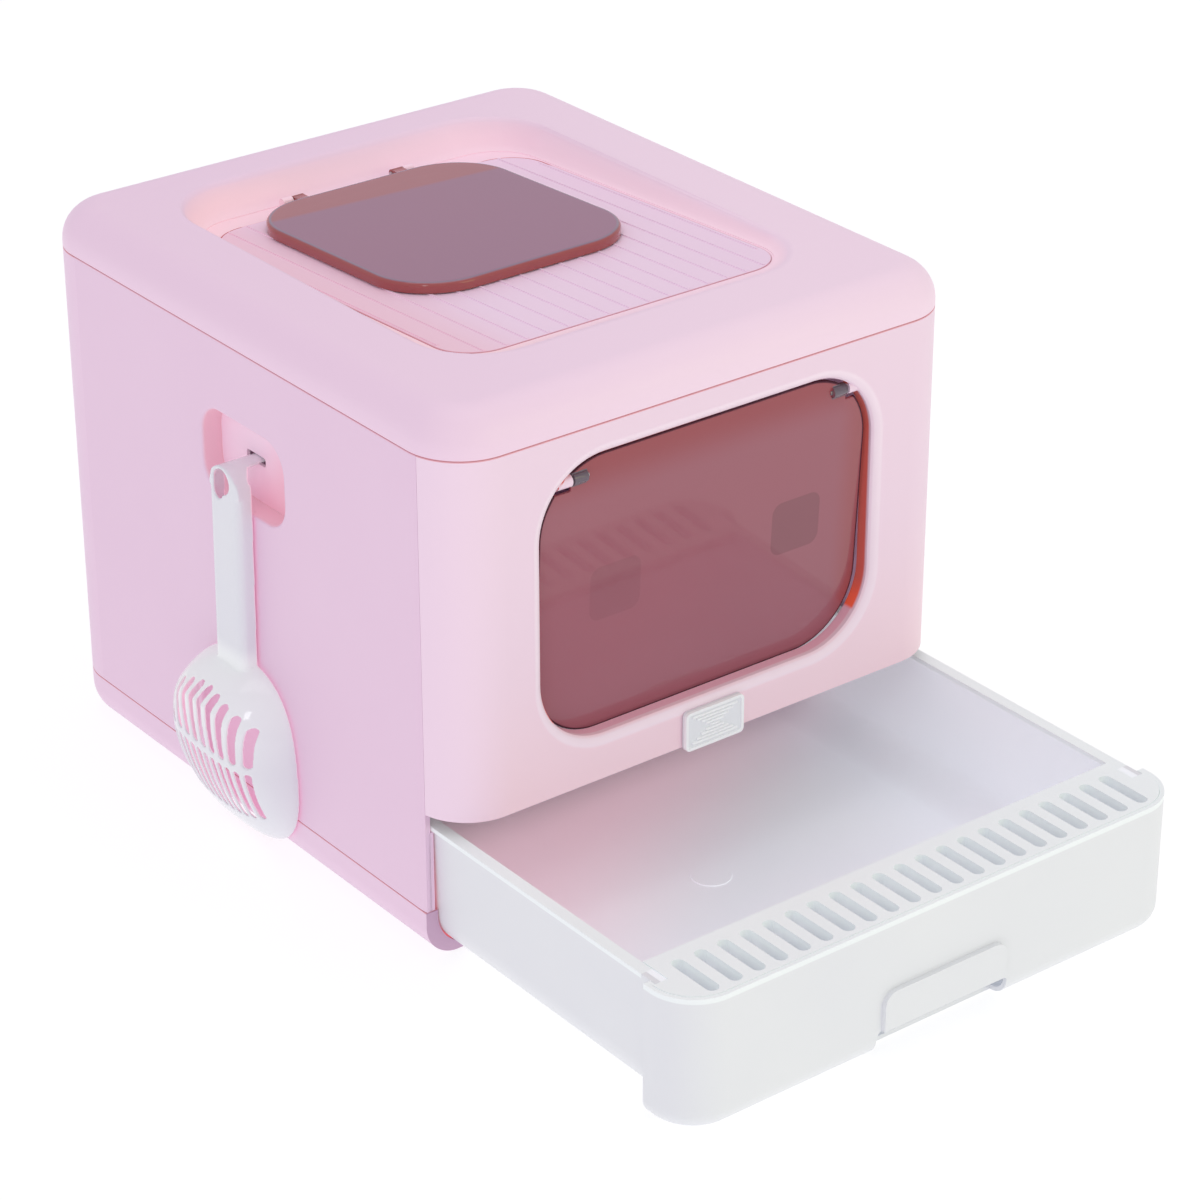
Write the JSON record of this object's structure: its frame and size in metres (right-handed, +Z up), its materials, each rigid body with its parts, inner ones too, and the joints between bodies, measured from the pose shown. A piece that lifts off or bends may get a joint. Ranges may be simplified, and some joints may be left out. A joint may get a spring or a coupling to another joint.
{
  "type": "drawer litter box",
  "caption": "Pink knock-down cat litter box with a pull-out white drawer, sifting grate, smoked swing door, top flap and hanging scoop.",
  "frame": {"origin": "centre of the base tray's flat underside, on the floor, midway between the side panels and midway between the front and rear panels", "axes": "+X to the side away from the scoop, -Y out of the front where the drawer opens, +Z up"},
  "size_m": [0.4508, 0.6984, 0.384],
  "materials": {
    "pink_shell": "pale pink moulded polypropylene with a fine matt texture",
    "white_satin": "white moulded polypropylene, satin",
    "white_gloss": "white moulded plastic, glossy",
    "smoked_plastic": "smoked red-brown translucent plastic, glossy",
    "steel_pin": "drawn steel pin"
  },
  "bodies": {
    "cabin": {"base_tray": "pink_shell", "left_panel": "pink_shell", "right_panel": "pink_shell", "front_panel": "pink_shell", "rear_panel": "pink_shell", "latch_guide": "pink_shell", "door_pin_left": "steel_pin", "door_pin_right": "steel_pin"},
    "latch": {"latch_slider": "white_satin"},
    "door": {"front_door": "smoked_plastic"},
    "lid": {"lid": "pink_shell", "lid_plate": "pink_shell", "flap_pin_left": "steel_pin", "flap_pin_right": "steel_pin"},
    "flap": {"top_flap": "smoked_plastic"},
    "drawer": {"drawer_tray": "white_satin", "drawer_fascia": "white_satin", "drawer_grate": "white_satin"},
    "scoop": {"scoop": "white_gloss"}
  },
  "joints": [
    {"name": "drawer_slide", "type": "slide", "parent": "cabin", "child": "drawer", "axis": [0, -1, 0], "range_m": [-0.22, 0.19]},
    {"name": "door_hinge", "type": "hinge", "parent": "cabin", "child": "door", "pos_m": [0, -0.2265, 0.32], "axis": [1, 0, 0], "range_deg": [0, 75]},
    {"name": "flap_hinge", "type": "hinge", "parent": "lid", "child": "flap", "pos_m": [-0.007, 0.15607, 0.36907], "axis": [-1, 0, 0], "range_deg": [0, 105]},
    {"name": "latch_slide", "type": "slide", "parent": "cabin", "child": "latch", "axis": [0, 0, 1], "range_m": [-0.0035, 0]},
    {"name": "lid_lift", "type": "slide", "parent": "cabin", "child": "lid", "axis": [0, 0, 1], "range_m": [0, 0.12]},
    {"name": "scoop_pull", "type": "slide", "parent": "cabin", "child": "scoop", "axis": [-1, 0, 0], "range_m": [0, 0.08]}
  ]
}
